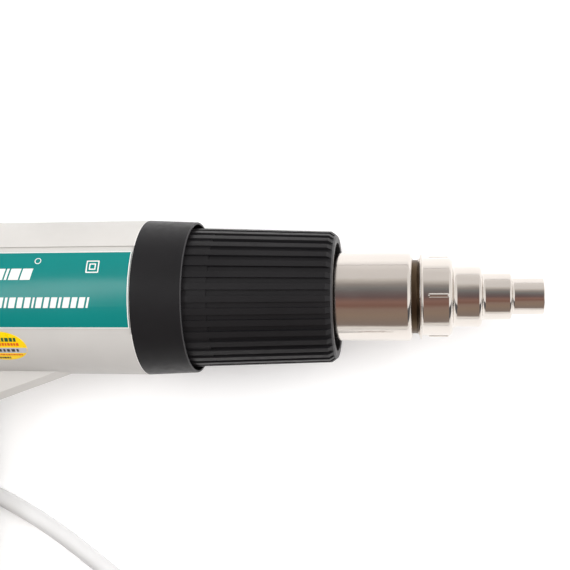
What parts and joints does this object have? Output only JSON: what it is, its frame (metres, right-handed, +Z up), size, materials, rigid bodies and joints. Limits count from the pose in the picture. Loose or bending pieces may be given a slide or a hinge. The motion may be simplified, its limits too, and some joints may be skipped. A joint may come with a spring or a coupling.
{
  "type": "pistol heat gun",
  "caption": "Hand-held electric hot air gun lying on its side, with a ribbed black heat guard, bright outlet tube, stepped reducer nozzle and mains cord.",
  "frame": {"origin": "on the floor under the middle of the tool's bounding box, cord left out", "axes": "+X towards the outlet, along the barrel; +Y away from the grip; +Z up from the surface on which the tool lies on its left side"},
  "size_m": [0.3665, 0.3273, 0.065],
  "materials": {
    "housing_grey": "fine moulded texture",
    "black_plastic": "satin",
    "bright_steel": "polished",
    "steel": "plain",
    "ferrite": "matte",
    "bronze": "sintered",
    "duct_plastic": "matte",
    "mica": "mica board",
    "ceramic": "ceramic",
    "board_green": "solder mask",
    "aluminium": "extruded",
    "board_part": "moulded",
    "label_teal": "printed film",
    "sticker_yellow": "printed film",
    "cord_grey": "smooth sheath",
    "lead_insulation": "silicone"
  },
  "bodies": {
    "frame": {"right_housing": "housing_grey", "left_housing": "housing_grey", "rear_cap": "housing_grey", "dust_screen": "steel", "front_collar": "black_plastic", "heat_shroud": "black_plastic", "barrel_tube": "bright_steel", "motor_can": "steel", "motor_magnets": "ferrite", "brush_cap": "black_plastic", "front_bearing": "bronze", "motor_mount": "black_plastic", "air_duct": "duct_plastic", "mica_sleeve": "mica", "element_base": "ceramic", "heater_former": "mica", "heater_coils": "steel", "thermal_cutout": "steel", "switch_body": "black_plastic", "potentiometer": "steel", "circuit_board": "board_green", "heat_sink": "aluminium", "board_parts": "board_part", "terminal_block": "board_part", "cord_clamp": "black_plastic", "clamp_screws": "steel", "housing_screws": "steel", "right_label": "label_teal", "left_label": "label_teal", "approval_sticker": "sticker_yellow", "cord_gland": "cord_grey", "motor_leads": "lead_insulation", "heater_leads": "lead_insulation", "mains_leads": "lead_insulation", "cord_tube": "cord_grey", "cord_coil": "cord_grey", "cord_tail": "cord_grey", "plug_body": "cord_grey", "plug_pins": "bright_steel"},
    "rotor": {"fan_impeller": "black_plastic", "motor_shaft": "steel", "armature": "ferrite"},
    "rocker": {"switch_rocker": "black_plastic"},
    "dial": {"heat_dial": "black_plastic", "dial_shaft": "steel"},
    "nozzle": {"reducer_nozzle": "bright_steel"}
  },
  "joints": [
    {"name": "fan_spin", "type": "hinge", "parent": "frame", "child": "rotor", "pos_m": [-0.07645, 0.05901, 0.0325], "axis": [1, 0, 0], "continuous": true},
    {"name": "rocker_tilt", "type": "hinge", "parent": "frame", "child": "rocker", "pos_m": [-0.10365, -0.01265, 0.02548], "axis": [0, -0.0976, 0.9952], "range_deg": [-9, 9]},
    {"name": "dial_turn", "type": "hinge", "parent": "frame", "child": "dial", "pos_m": [-0.11965, 0.01721, 0.0284], "axis": [0, -0.0976, 0.9952], "range_deg": [0, 270]},
    {"name": "nozzle_pull", "type": "slide", "parent": "frame", "child": "nozzle", "axis": [1, 0, 0], "range_m": [0, 0.016]}
  ]
}
